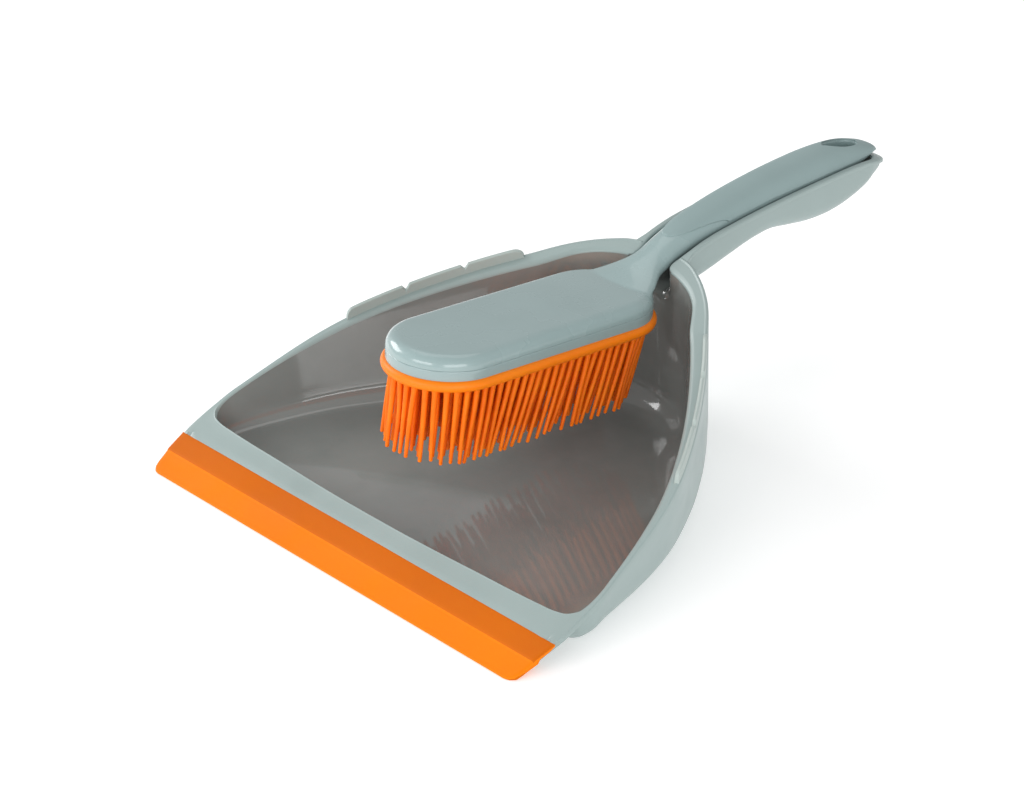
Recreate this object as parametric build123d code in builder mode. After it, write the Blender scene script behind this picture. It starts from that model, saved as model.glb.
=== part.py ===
from build123d import *
import math
import os

# Dust pan and hand brush. The brush hangs with its handle nested in the pan's handle trough.
# X is across the pan, +Y runs from the soft lip to the handle's end, +Z is up.
# Millimetres. The origin is at the floor, in the middle of the set's length and width.

# ---- driving dimensions ----
LENGTH = 330.0          # lip edge to the end of the pan's handle
WIDTH = 235.0           # across the front
LIP_Y = -LENGTH / 2     # the lip's front edge
RIM_SLOPE = 0.3813      # rise of the rim plane per mm of length
RIM_Z33 = 14.445        # height of the rim plane 33 mm behind the lip's edge
WALL = 2.0              # moulded wall
FLANGE_T = 2.2          # rim flange thickness
SKIRT = 4.6             # depth of the flange's turned-down edge
RAMP_FRONT = 10.0       # where the hard ramp starts behind the lip's edge
FLOOR_TOP = 2.2         # inside floor height
HANDLE_FLANGE_W = 14.4  # half width over the handle's flange
TROUGH_W = 11.2         # half width inside the handle's trough
HEAD_W = 25.0           # half width of the brush head
HEAD_FRONT, HEAD_REAR = 46.5, 179.0   # along the set, from the lip's edge
HEAD_SLOPE = -0.105     # the head hangs with its front end raised
HEAD_Z110 = 66.5        # underside of the grey head 110 mm behind the lip's edge
HEAD_H = 10.0           # height of the grey head
BAND_H = 4.2            # height of the lower band under the seam
BEAD = 5.0              # bead thickness
FILAMENT = 31.0         # filament length below the plate
PAD_T = 1.2             # grip inlay thickness

os.makedirs("parts", exist_ok=True)


def Y(y):
    """Distance behind the lip's edge to the part's Y."""
    return LIP_Y + y


def rim_z(y):
    return RIM_Z33 + RIM_SLOPE * (y - 33.0)


# Rim, right half: inner edge (x, distance behind the lip's edge), outer edge (x, distance),
# inner wall's lean and floor radius, outer wall's lean and bottom radius.
RIM = [
    ((95.0, 31.8), None, 2.5, 5.0, 0.0, 0.0), ((104.5, 32.3), None, 2.0, 4.0, 0.0, 0.0),
    ((109.2, 33.2), None, 1.5, 3.5, 0.0, 0.0), ((112.4, 35.4), None, 1.5, 3.5, 0.0, 0.0),
    ((114.2, 38.8), (117.4, 31.0), 1.5, 4.0, 2.5, 5.0), ((114.5, 42.5), (117.3, 37.0), 1.8, 4.6, 3.2, 6.0),
    ((114.0, 48.5), (116.8, 43.5), 2.0, 5.5, 4.0, 7.0), ((112.6, 56.0), (115.5, 53.0), 2.0, 6.0, 4.6, 8.0),
    ((109.9, 67.6), (113.1, 66.0), 2.4, 6.5, 4.8, 9.0), ((106.6, 79.0), (110.4, 79.0), 2.6, 7.0, 5.0, 10.0),
    ((102.0, 91.5), (106.6, 92.2), 2.8, 7.5, 5.0, 11.0), ((95.8, 104.0), (101.2, 105.2), 3.0, 8.0, 4.6, 12.0),
    ((88.4, 116.0), (94.3, 117.4), 3.0, 8.5, 3.6, 13.5), ((79.8, 128.0), (86.2, 129.8), 3.0, 9.0, 2.6, 15.0),
    ((70.0, 140.0), (76.8, 142.3), 2.8, 10.0, 1.6, 17.0), ((60.2, 150.8), (67.2, 153.8), 2.6, 11.0, 0.8, 18.5),
    ((51.6, 159.6), (58.6, 163.0), 2.4, 12.0, 0.3, 19.5), ((45.2, 165.8), (52.4, 169.4), 2.2, 12.5, 0.0, 20.0),
    ((40.6, 171.4), (47.4, 174.8), 2.0, 13.0, 0.0, 20.0), ((36.0, 176.6), (42.6, 179.4), 2.0, 13.0, 0.0, 20.0),
    ((29.0, 181.6), (36.0, 184.6), 2.0, 13.0, 0.0, 20.0), ((20.6, 185.2), (27.6, 189.6), 2.0, 13.0, 0.0, 20.0),
    ((12.0, 187.4), (17.6, 195.0), 2.0, 13.0, 0.0, 20.0)]

# Frame of the rim plane: local x is +X, local y runs up the slope, the origin is on the lip's edge line.
_n = math.hypot(1.0, RIM_SLOPE)
RIM_PLANE = Plane(origin=(0, LIP_Y, rim_z(0.0)), x_dir=(1, 0, 0), z_dir=(0, -RIM_SLOPE / _n, 1 / _n))


def on_rim(x, y):
    """Plan point to the rim plane's own coordinates."""
    return (x, y * _n)


def inwards(points, depths):
    """Moves each point of an open half outline inwards by its own depth, along the outline's normals."""
    out = []
    for i, (x, y) in enumerate(points):
        a = points[max(i - 1, 0)]
        b = points[min(i + 1, len(points) - 1)]
        tx, ty = b[0] - a[0], b[1] - a[1]
        length = math.hypot(tx, ty)
        d = depths[i]
        out.append((x - ty / length * d, y + tx / length * d))
    return out


def round_in(z, radius):
    """How far a floor fillet of this radius stands in at height z above the floor."""
    return 0.0 if z >= radius else radius - math.sqrt(max(radius**2 - (radius - z) ** 2, 0.0))


def mirrored(points):
    """The whole outline from its right half."""
    return list(points) + [(-x, y) for x, y in reversed(points)]


RIM_OUT = [(117.5, 20.0)] + [r[1] for r in RIM if r[1]]
OUT_LEAN = [2.0] + [r[4] for r in RIM if r[1]]
OUT_R = [5.0] + [r[5] for r in RIM if r[1]]
RIM_IN = [r[0] for r in RIM]
IN_LEAN = [r[2] for r in RIM]
IN_R = [r[3] for r in RIM]


def outer_level(z):
    """Outside of the tray at height z. The front line of the tray is cut square."""
    h = [max(rim_z(y) - 3.0, 4.0) for _, y in RIM_OUT]
    depths = [lean * min(1.0, (rim_z(y) - z) / (rim_z(y) - 2.0)) + round_in(z, r) * 0.95 for (x, y), lean, r in zip(RIM_OUT, OUT_LEAN, OUT_R)]
    pts = inwards(RIM_OUT, depths)[1:]
    front = 30.9 + round_in(z, 6.0)
    pts = [(x, max(y, front + 0.4 * (i + 1))) for i, (x, y) in enumerate(pts)]
    return [(pts[0][0] - 4.0, front)] + pts


def inner_level(z):
    """Inside of the tray at height z."""
    depths = [lean * min(1.0, (rim_z(y) - z) / (rim_z(y) - 2.0)) + round_in(z - FLOOR_TOP, r) * 0.95 for (x, y), lean, r in zip(RIM_IN, IN_LEAN, IN_R)]
    return inwards(RIM_IN, depths)


# handle flange, following the handle's line, with a rounded end
FLANGE_LINE = [(194.0, 76.4), (200.0, 78.4), (212.0, 80.4), (226.0, 82.0), (240.0, 83.0), (252.0, 83.6), (264.0, 84.0),
               (277.0, 84.3), (290.0, 84.5), (303.0, 84.5), (313.0, 83.9), (322.0, 82.0), (330.0, 78.6)]
with BuildPart() as flange_band:
    with BuildSketch(Plane.YZ):
        with BuildLine():
            top = [(Y(y), z) for y, z in FLANGE_LINE]
            low = [(a, z - 2.2) for a, z in top]
            Spline(*top)
            Line(top[-1], low[-1])
            Spline(*reversed(low))
            Line(low[0], top[0])
        make_face()
    extrude(amount=20.0, both=True)
    with BuildSketch(Plane.XY.offset(60.0)):
        with BuildLine():
            w = HANDLE_FLANGE_W
            Line((-w, Y(190)), (w, Y(190)))
            Line((w, Y(190)), (w, Y(312)))
            Spline((w, Y(312)), (w - 1.4, Y(320.5)), (w - 6.0, Y(327.3)), (0, Y(330)), (-w + 6.0, Y(327.3)), (-w + 1.4, Y(320.5)), (-w, Y(312)), tangents=[(0, 1), (0, -1)])
            Line((-w, Y(312)), (-w, Y(190)))
        make_face()
    extrude(amount=40.0, mode=Mode.INTERSECT)

# handle trough: its outside, and the hollow that the brush handle lies in
TROUGH_LINE = [(188.0, 58.0), (200.0, 60.4), (212.0, 62.5), (226.0, 65.5), (240.0, 68.2), (252.0, 69.0), (264.0, 67.0),
               (277.0, 64.9), (290.0, 64.6), (303.0, 66.6), (314.0, 70.4), (324.0, 76.5)]
with BuildPart() as trough:
    with BuildSketch(Plane.YZ):
        with BuildLine():
            low = [(Y(y), z) for y, z in TROUGH_LINE]
            top = [(Y(y), z - 0.6) for y, z in FLANGE_LINE if 196.0 < y < 323.0]
            Spline(*low)
            Line(low[-1], (Y(324.0), 81.0))
            Polyline((Y(324.0), 81.0), *reversed(top), (Y(188.0), 72.9))
            Line((Y(188.0), 72.9), low[0])
        make_face()
    extrude(amount=13.2, both=True)
    fillet(trough.edges().filter_by(lambda e: e.length > 100).group_by(Axis.Z)[0], radius=7.0)
with BuildPart() as trough_hollow:
    with BuildSketch(Plane.YZ):
        with BuildLine():
            low = [(Y(176.0), 60.2), (Y(188.0), 60.3)] + [(Y(y), z + WALL) for y, z in TROUGH_LINE[1:-1]] + [(Y(321.6), 77.0)]
            Spline(*low)
            Line(low[-1], (Y(321.6), 92.0))
            Line((Y(321.6), 92.0), (Y(176.0), 92.0))
            Line((Y(176.0), 92.0), low[0])
        make_face()
    extrude(amount=TROUGH_W, both=True)
    fillet(trough_hollow.edges().filter_by(lambda e: e.length > 100).group_by(Axis.Z)[0], radius=5.0)
    with BuildSketch(Plane.XY.offset(50.0)):
        with BuildLine():
            Polyline((-10.1, Y(170)), (10.1, Y(170)), (10.1, Y(190)), (TROUGH_W, Y(200)), (TROUGH_W, Y(311)), (9.0, Y(319.5)), (6.0, Y(321.8)),
                     (-6.0, Y(321.8)), (-9.0, Y(319.5)), (-TROUGH_W, Y(311)), (-TROUGH_W, Y(200)), (-10.1, Y(190)), close=True)
        make_face()
    extrude(amount=50.0, mode=Mode.INTERSECT)

with BuildPart() as pan_shell:
    # outside of the tray
    outside = []
    for z in (0.0, 1.6, 5.0, 11.0):
        with BuildSketch(Plane.XY.offset(z)) as sec:
            with BuildLine():
                Polyline(*[(x, Y(y)) for x, y in mirrored(outer_level(z))], close=True)
            make_face()
        outside.append(sec.sketch)
    with BuildSketch(RIM_PLANE) as sec:
        with BuildLine():
            Polyline(*[on_rim(x, y) for x, y in mirrored([(113.4, 29.4)] + RIM_OUT[1:])], close=True)
        make_face()
    outside.append(sec.sketch)
    loft(outside, ruled=True)
    # front ramp, in the rim's plane
    with BuildSketch(RIM_PLANE) as ramp:
        with BuildLine():
            Polyline(*[on_rim(x, y) for x, y in mirrored([(115.9, RAMP_FRONT), (117.5, 20.0), (117.4, 31.0), (117.3, 37.0), (113.0, 45.0)])], close=True)
        make_face()
    extrude(ramp.sketch, amount=-FLANGE_T)
    # handle trough, outside
    add(trough.part)
    # handle flange
    add(flange_band.part)
    # hollow of the tray
    inside = []
    for z in (FLOOR_TOP, FLOOR_TOP + 1.2, FLOOR_TOP + 3.6, FLOOR_TOP + 8.0):
        with BuildSketch(Plane.XY.offset(z)) as sec:
            with BuildLine():
                Polyline(*[(x, Y(y)) for x, y in mirrored(inner_level(z))], close=True)
            make_face()
        inside.append(sec.sketch)
    with BuildSketch(RIM_PLANE) as sec:
        with BuildLine():
            Polyline(*[on_rim(x, y) for x, y in mirrored(RIM_IN)], close=True)
        make_face()
    inside.append(sec.sketch)
    loft(inside, ruled=True, mode=Mode.SUBTRACT)
    # hollow of the handle's trough, open into the tray
    add(trough_hollow.part, mode=Mode.SUBTRACT)
    # hang hole through the trough's floor
    with BuildSketch(Plane.XY.offset(50.0)) as pan_hole:
        with BuildLine():
            Spline((0, Y(295.5)), (3.6, Y(301)), (4.8, Y(307.5)), (3.4, Y(313.5)), (0, Y(316)), (-3.4, Y(313.5)), (-4.8, Y(307.5)), (-3.6, Y(301)), (0, Y(295.5)))
        make_face()
    extrude(pan_hole.sketch, amount=31.0, mode=Mode.SUBTRACT)

# three low tabs a side, standing on the rim's outer edge
TAB_SPANS = [(101.6, 124.2), (126.0, 145.2), (147.0, 165.6)]


def rim_edge(y):
    for (xa, ya), (xb, yb) in zip(RIM_OUT[:-1], RIM_OUT[1:]):
        if ya <= y <= yb:
            return (xa + (xb - xa) * (y - ya) / (yb - ya), y)


with BuildPart() as tabs:
    for side in (1, -1):
        for y0, y1 in TAB_SPANS:
            run = [rim_edge(y0)] + [p for p in RIM_OUT if y0 + 2.0 < p[1] < y1 - 2.0] + [rim_edge(y1)]
            outer = [on_rim(side * x, y) for x, y in inwards(run, [0.35] * len(run))]
            inner = [on_rim(side * x, y) for x, y in inwards(run, [2.2] * len(run))]
            with BuildSketch(RIM_PLANE.offset(-1.0)):
                with BuildLine():
                    Polyline(*outer, *reversed(inner), close=True)
                make_face()
            extrude(amount=5.2)
with BuildPart() as pan_all:
    add(pan_shell.part)
    add(tabs.part)
pan_all.part.label = "pan_shell"
export_step(pan_all.part, "parts/pan_shell.step")

# ---------------------------------------------------------------- soft lip
with BuildPart() as rubber_lip:
    with BuildSketch(Plane.YZ) as lip_sec:
        with BuildLine():
            Polyline((Y(0.0), 0.0), (Y(0.0), 0.9), (Y(9.6), rim_z(RAMP_FRONT) + 0.1), (Y(20.0), rim_z(20.0) + 0.7),
                     (Y(20.0), rim_z(20.0) + 0.02), (Y(RAMP_FRONT - 0.1), rim_z(RAMP_FRONT - 0.1) + 0.02),
                     (Y(RAMP_FRONT - 0.1), rim_z(RAMP_FRONT) - 2.3), (Y(2.5), 0.0), close=True)
        make_face()
    extrude(amount=WIDTH / 2, both=True)
    with BuildSketch(Plane.XY):
        with BuildLine():
            Spline((107.5, Y(0.0)), (112.0, Y(0.9)), (114.4, Y(3.6)), (115.2, Y(7.5)), (116.0, Y(13.0)), (117.4, Y(20.0)), tangents=[(1, 0), (0.15, 1)])
            Line((117.4, Y(20.0)), (-117.4, Y(20.0)))
            Spline((-117.4, Y(20.0)), (-116.0, Y(13.0)), (-115.2, Y(7.5)), (-114.4, Y(3.6)), (-112.0, Y(0.9)), (-107.5, Y(0.0)), tangents=[(0.15, -1), (1, 0)])
            Line((-107.5, Y(0.0)), (107.5, Y(0.0)))
        make_face()
    extrude(amount=30.0, mode=Mode.INTERSECT)
rubber_lip.part.label = "rubber_lip"
export_step(rubber_lip.part, "parts/rubber_lip.step")

# ---------------------------------------------------------------- brush
_h = math.hypot(1.0, HEAD_SLOPE)
HEAD_PLANE = Plane(origin=(0, Y(110.0), HEAD_Z110), x_dir=(1, 0, 0), z_dir=(0, -HEAD_SLOPE / _h, 1 / _h))
HEAD_LEN = (HEAD_REAR - HEAD_FRONT) * _h
HEAD_MID = ((HEAD_REAR + HEAD_FRONT) / 2 - 110.0) * _h


def stadium(grow):
    """Head outline grown by grow, turned along Y."""
    with Locations((0, HEAD_MID)):
        SlotOverall(HEAD_LEN + 2 * grow, 2 * (HEAD_W + grow), rotation=90)


# lower band of the head, under the seam
with BuildPart() as brush_base:
    with BuildSketch(HEAD_PLANE):
        stadium(0)
    extrude(amount=BAND_H)
brush_base.part.label = "brush_base"
export_step(brush_base.part, "parts/brush_base.step")

# neck and handle: (distance, top, bottom, half width)
GRIP = [(166.0, 71.2, 66.0, 20.0), (176.0, 73.6, 66.5, 14.6), (186.0, 77.6, 68.0, 8.9), (194.0, 81.4, 70.0, 8.4), (204.0, 84.6, 72.5, 8.8),
        (216.0, 87.2, 74.5, 9.5), (230.0, 89.4, 76.0, 10.0), (250.0, 91.6, 77.0, 10.2), (270.0, 92.8, 77.4, 10.3), (288.0, 93.0, 77.2, 10.3),
        (302.0, 92.0, 77.2, 10.0), (311.0, 90.2, 79.6, 9.4), (318.0, 87.9, 83.9, 8.2), (323.5, 85.8, 82.6, 6.4), (327.0, 83.8, 81.2, 4.0)]


def smoothed(rows, step):
    """Rows of (distance, ...) resampled on a smooth curve through them."""
    out = []
    for i in range(len(rows) - 1):
        p0, p1, p2, p3 = rows[max(i - 1, 0)], rows[i], rows[i + 1], rows[min(i + 2, len(rows) - 1)]
        parts = max(1, round((p2[0] - p1[0]) / step))
        for k in range(parts):
            t = k / parts
            y = p1[0] + (p2[0] - p1[0]) * t
            row = [y]
            for c in range(1, len(p1)):
                m1 = (p2[c] - p0[c]) / (p2[0] - p0[0])
                m2 = (p3[c] - p1[c]) / (p3[0] - p1[0])
                h = p2[0] - p1[0]
                row.append((2 * t**3 - 3 * t**2 + 1) * p1[c] + (t**3 - 2 * t**2 + t) * h * m1
                           + (-2 * t**3 + 3 * t**2) * p2[c] + (t**3 - t**2) * h * m2)
            out.append(tuple(row))
    out.append(tuple(rows[-1]))
    return out


GRIP = smoothed(GRIP, 7.0)


def grip_section(y, zt, zb, w, shrink):
    """A rounded section: elliptical top, full sides, flattened bottom."""
    w, zt, zb = w - shrink, zt - shrink, zb + min(shrink, 0.4)
    zm = zb + (zt - zb) * 0.42
    with BuildSketch(Plane(origin=(0, Y(y), 0), x_dir=(1, 0, 0), z_dir=(0, -1, 0))) as sec:
        with BuildLine():
            Spline((w, zm), (w * 0.74, zm + (zt - zm) * 0.70), (0, zt), (-w * 0.74, zm + (zt - zm) * 0.70), (-w, zm), tangents=[(0, 1), (0, -1)])
            Spline((-w, zm), (-w * 0.72, zb + (zm - zb) * 0.2), (0, zb), (w * 0.72, zb + (zm - zb) * 0.2), (w, zm), tangents=[(0, -1), (0, 1)])
        make_face()
    return sec.sketch


with BuildSketch(Plane.XY.offset(60.0)) as brush_hole:
    with BuildLine():
        Spline((0, Y(295.0)), (3.8, Y(300.5)), (5.2, Y(307)), (3.8, Y(314)), (0, Y(317)), (-3.8, Y(314)), (-5.2, Y(307)), (-3.8, Y(300.5)), (0, Y(295.0)))
    make_face()

TONGUE = [(0.0, 196.0), (4.2, 199.0), (6.6, 206.0), (8.6, 218.0), (12.0, 232.0)]
with BuildPart() as grip_pad:
    pad_rows = [row for row in GRIP if row[0] > 189.0]
    outer = [grip_section(*row, -0.45) for row in pad_rows]
    core = [grip_section(*row, PAD_T) for row in pad_rows]
    loft(outer, ruled=True)
    loft(core, ruled=True, mode=Mode.SUBTRACT)
    with BuildSketch(Plane.XY.offset(60.0)):
        with BuildLine():
            right = [(x, Y(y)) for x, y in TONGUE]
            left = [(-x, y) for x, y in reversed(right)][:-1]
            Spline(*left, *right, tangents=[(0.25, -1), (0.25, 1)])
            Line(right[-1], (12.0, Y(340)))
            Line((12.0, Y(340)), (-12.0, Y(340)))
            Line((-12.0, Y(340)), left[0])
        make_face()
    extrude(amount=60.0, mode=Mode.INTERSECT)
    with BuildSketch(Plane.YZ):
        with BuildLine():
            Polyline((Y(190), 70), (Y(205), 79.5), (Y(230), 84.6), (Y(250), 85.6), (Y(290), 86.0), (Y(305), 85.8), (Y(316), 85.4), (Y(324), 83.6), (Y(340), 79.0), (Y(340), 110), (Y(190), 110), close=True)
        make_face()
    extrude(amount=40.0, both=True, mode=Mode.INTERSECT)
    extrude(brush_hole.sketch, amount=60.0, mode=Mode.SUBTRACT)
grip_pad.part.label = "grip_pad"
export_step(grip_pad.part, "parts/grip_pad.step")

with BuildPart() as brush_top:
    with BuildSketch(HEAD_PLANE.offset(BAND_H)):
        stadium(0)
    extrude(amount=HEAD_H - BAND_H)
    top_face = brush_top.faces().sort_by(Axis((0, 0, 0), (0, -HEAD_SLOPE / _h, 1 / _h)))[-1]
    fillet(top_face.edges(), radius=5.0)
    loft([grip_section(*row, 0.0) for row in GRIP], ruled=True)
    add(grip_pad.part, mode=Mode.SUBTRACT)
    extrude(brush_hole.sketch, amount=60.0, mode=Mode.SUBTRACT)
brush_top.part.label = "brush_top"
export_step(brush_top.part, "parts/brush_top.step")

# soft base plate with its rounded bead
with BuildPart() as bristle_plate:
    with BuildSketch(HEAD_PLANE):
        stadium(1.8)
    extrude(amount=-BEAD)
    fillet(bristle_plate.edges().filter_by(GeomType.LINE) + bristle_plate.edges().filter_by(GeomType.CIRCLE), radius=2.4)
bristle_plate.part.label = "bristle_plate"
export_step(bristle_plate.part, "parts/bristle_plate.step")

# space the filaments fill
with BuildPart() as bristles:
    with BuildSketch(HEAD_PLANE.offset(-BEAD)):
        stadium(-2.0)
    extrude(amount=-FILAMENT)
bristles.part.label = "bristles"
export_step(bristles.part, "parts/bristles.step")
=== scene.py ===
import math
import random

import bmesh
import bpy
import numpy as np
from mathutils import Matrix, Vector


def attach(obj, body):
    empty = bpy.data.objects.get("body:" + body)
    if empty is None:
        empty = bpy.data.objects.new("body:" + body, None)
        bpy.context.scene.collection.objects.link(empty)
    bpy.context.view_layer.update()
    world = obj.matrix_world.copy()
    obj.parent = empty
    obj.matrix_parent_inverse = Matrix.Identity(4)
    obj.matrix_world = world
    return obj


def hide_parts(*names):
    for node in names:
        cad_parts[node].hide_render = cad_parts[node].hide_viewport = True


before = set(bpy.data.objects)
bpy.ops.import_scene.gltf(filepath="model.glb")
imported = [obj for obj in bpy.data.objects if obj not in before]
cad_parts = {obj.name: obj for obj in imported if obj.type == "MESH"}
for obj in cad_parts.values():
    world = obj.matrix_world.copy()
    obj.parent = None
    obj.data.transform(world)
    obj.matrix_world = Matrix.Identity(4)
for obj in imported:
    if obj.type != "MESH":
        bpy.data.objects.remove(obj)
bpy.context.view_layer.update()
random.seed(71)
rng = np.random.default_rng(71)

# All outlines below are in millimetres: x across, y behind the lip's edge, z up.
LIP = 165.0


def metres(p):
    p = np.asarray(p, float).reshape(-1, 3).copy()
    p[:, 1] -= LIP
    return p * 0.001


def hermite(u, pts, uq):
    """Smooth curve through pts at u, sampled at uq."""
    u, pts, uq = np.asarray(u, float), np.asarray(pts, float), np.asarray(uq, float)
    flat = pts.ndim == 1
    if flat:
        pts = pts[:, None]
    h = np.diff(u)
    d = np.diff(pts, axis=0) / h[:, None]
    m = np.empty_like(pts)
    m[0], m[-1] = d[0], d[-1]
    m[1:-1] = (d[:-1] * h[1:, None] + d[1:] * h[:-1, None]) / (h[1:] + h[:-1])[:, None]
    k = np.clip(np.searchsorted(u, uq, side="right") - 1, 0, len(u) - 2)
    t = ((uq - u[k]) / h[k])[:, None]
    hk = h[k][:, None]
    out = ((2 * t**3 - 3 * t**2 + 1) * pts[k] + (t**3 - 2 * t**2 + t) * hk * m[k]
           + (-2 * t**3 + 3 * t**2) * pts[k + 1] + (t**3 - t**2) * hk * m[k + 1])
    return out[:, 0] if flat else out


def make(name, verts, faces, mats, index=None, angle=32.0):
    me = bpy.data.meshes.new(name)
    me.from_pydata([tuple(v) for v in metres(verts)], [], [tuple(int(i) for i in f) for f in faces])
    for m in mats:
        me.materials.append(m)
    if index is not None:
        me.polygons.foreach_set("material_index", np.asarray(index, np.int32))
    bm = bmesh.new()
    bm.from_mesh(me)
    bmesh.ops.remove_doubles(bm, verts=bm.verts, dist=3e-6)
    bmesh.ops.recalc_face_normals(bm, faces=bm.faces)
    bm.to_mesh(me)
    bm.free()
    me.validate()
    soften(me, angle)
    ob = bpy.data.objects.new(name, me)
    bpy.context.scene.collection.objects.link(ob)
    return ob


def soften(me, angle):
    me.shade_smooth()
    me.set_sharp_from_angle(angle=math.radians(angle))


def grid_faces(nu, nv, wrap_u=False, wrap_v=False, base=0):
    out = []
    for i in range(nu if wrap_u else nu - 1):
        a, b = i * nv, ((i + 1) % nu) * nv
        for j in range(nv if wrap_v else nv - 1):
            k = (j + 1) % nv
            out.append((base + a + j, base + b + j, base + b + k, base + a + k))
    return out


def baked(ob):
    """The object's mesh with its modifiers worked in."""
    bpy.context.view_layer.update()
    dg = bpy.context.evaluated_depsgraph_get()
    me = bpy.data.meshes.new_from_object(ob.evaluated_get(dg))
    ob.modifiers.clear()
    ob.data = me
    return ob


def cut(ob, tool, how):
    m = ob.modifiers.new("cut", "BOOLEAN")
    m.operation, m.object, m.solver = how, tool, "EXACT"
    baked(ob)
    bpy.data.objects.remove(tool)
    return ob


def closed_and_volume(ob):
    bm = bmesh.new()
    bm.from_mesh(ob.data)
    bad = sum(1 for e in bm.edges if len(e.link_faces) != 2)
    v = bm.calc_volume() * 1e9
    n = len(bm.faces)
    bm.free()
    print("MESH", ob.name, "faces", n, "open edges", bad, "mm3", round(v))
    return bad, v, n


# ------------------------------------------------------------------ materials
def material(name, stops, rough, grain=900.0, grain_depth=0.00002, wave=0.0, coat=0.0, blotch=14.0, soft=0.0, scratch=0.0, spec=0.5):
    m = bpy.data.materials.new(name)
    m.use_nodes = True
    nt = m.node_tree
    n, link = nt.nodes, nt.links
    bsdf = n["Principled BSDF"]
    co = n.new("ShaderNodeTexCoord")
    big = n.new("ShaderNodeTexNoise")
    big.inputs["Scale"].default_value = blotch
    big.inputs["Detail"].default_value = 5.0
    big.inputs["Roughness"].default_value = 0.55
    link.new(co.outputs["Object"], big.inputs["Vector"])
    ramp = n.new("ShaderNodeValToRGB")
    ramp.color_ramp.interpolation = "EASE"
    els = ramp.color_ramp.elements
    els[0].position, els[1].position = 0.3, 0.7
    els[0].color, els[1].color = (*stops[0], 1), (*stops[-1], 1)
    if len(stops) == 3:
        e = els.new(0.5)
        e.color = (*stops[1], 1)
    link.new(big.outputs["Fac"], ramp.inputs["Fac"])
    link.new(ramp.outputs["Color"], bsdf.inputs["Base Color"])
    mid = n.new("ShaderNodeTexNoise")
    mid.inputs["Scale"].default_value = 55.0
    mid.inputs["Detail"].default_value = 6.0
    link.new(co.outputs["Object"], mid.inputs["Vector"])
    mr = n.new("ShaderNodeMapRange")
    mr.inputs["From Min"].default_value, mr.inputs["From Max"].default_value = 0.3, 0.7
    mr.inputs["To Min"].default_value, mr.inputs["To Max"].default_value = rough
    link.new(mid.outputs["Fac"], mr.inputs["Value"])
    link.new(mr.outputs["Result"], bsdf.inputs["Roughness"])
    fine = n.new("ShaderNodeTexNoise")
    fine.inputs["Scale"].default_value = grain
    fine.inputs["Detail"].default_value = 3.0
    link.new(co.outputs["Object"], fine.inputs["Vector"])
    b = n.new("ShaderNodeBump")
    b.inputs["Strength"].default_value = 0.35
    b.inputs["Distance"].default_value = grain_depth
    link.new(fine.outputs["Fac"], b.inputs["Height"])
    last = b
    if wave:
        w = n.new("ShaderNodeTexNoise")
        w.inputs["Scale"].default_value = 32.0
        w.inputs["Detail"].default_value = 1.0
        link.new(co.outputs["Object"], w.inputs["Vector"])
        b2 = n.new("ShaderNodeBump")
        b2.inputs["Strength"].default_value = 0.5
        b2.inputs["Distance"].default_value = wave
        link.new(w.outputs["Fac"], b2.inputs["Height"])
        link.new(last.outputs["Normal"], b2.inputs["Normal"])
        last = b2
    if scratch:
        mp = n.new("ShaderNodeMapping")
        mp.inputs["Rotation"].default_value = (0.0, 0.0, 0.45)
        mp.inputs["Scale"].default_value = (1600.0, 22.0, 200.0)
        link.new(co.outputs["Object"], mp.inputs["Vector"])
        s = n.new("ShaderNodeTexNoise")
        s.inputs["Scale"].default_value = 1.0
        s.inputs["Detail"].default_value = 2.0
        link.new(mp.outputs["Vector"], s.inputs["Vector"])
        sr = n.new("ShaderNodeValToRGB")
        sr.color_ramp.elements[0].position, sr.color_ramp.elements[1].position = 0.50, 0.85
        link.new(s.outputs["Fac"], sr.inputs["Fac"])
        b3 = n.new("ShaderNodeBump")
        b3.inputs["Strength"].default_value = 0.5
        b3.inputs["Distance"].default_value = scratch
        link.new(sr.outputs["Color"], b3.inputs["Height"])
        link.new(last.outputs["Normal"], b3.inputs["Normal"])
        last = b3
    link.new(last.outputs["Normal"], bsdf.inputs["Normal"])
    bsdf.inputs["Specular IOR Level"].default_value = spec
    if coat:
        bsdf.inputs["Coat Weight"].default_value = coat
        bsdf.inputs["Coat Roughness"].default_value = 0.05 if coat > 0.5 else 0.12
    if soft:
        bsdf.inputs["Subsurface Weight"].default_value = soft
        bsdf.inputs["Subsurface Radius"].default_value = (1.0, 0.35, 0.08)
        bsdf.inputs["Subsurface Scale"].default_value = 0.002
    return m


pan_mat = material("pan_grey", [(0.300, 0.372, 0.362), (0.318, 0.395, 0.385), (0.335, 0.415, 0.405)], (0.32, 0.46), wave=0.00003, coat=0.08, spec=0.4)
# pan_inside_painted_shade: a darker copy of the pan grey for the tray's interior faces; the darkness is painted shade,
# and the blotches are random tone
inside_shade_mat = material("pan_inside_painted_shade", [(0.208, 0.226, 0.216), (0.232, 0.248, 0.237), (0.256, 0.270, 0.258)], (0.05, 0.13), wave=0.000008, coat=0.6, scratch=0.000004, blotch=22.0, grain_depth=0.000002)
# pan_tabs_painted_light: a lighter copy of the pan grey for the tall rim tabs; the lift is painted light standing in
# for light through the thin plastic
tab_light_mat = material("pan_tabs_painted_light", [(0.38, 0.45, 0.43), (0.43, 0.50, 0.475)], (0.34, 0.46), wave=0.00003, spec=0.4)
brush_mat = material("brush_grey", [(0.285, 0.385, 0.385), (0.305, 0.408, 0.408), (0.320, 0.425, 0.425)], (0.22, 0.32), wave=0.000012, coat=0.6, spec=0.45)
band_mat = material("band_grey", [(0.285, 0.380, 0.382), (0.310, 0.408, 0.410)], (0.18, 0.27), wave=0.00001, coat=0.6)
grip_mat = material("grip_grey", [(0.270, 0.362, 0.362), (0.300, 0.395, 0.395)], (0.50, 0.64), grain=1500.0, grain_depth=0.00004, spec=0.35)
plate_mat = material("bead_orange", [(0.93, 0.205, 0.002), (1.0, 0.240, 0.003)], (0.34, 0.48), soft=0.10, wave=0.00002, spec=0.3)
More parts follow.
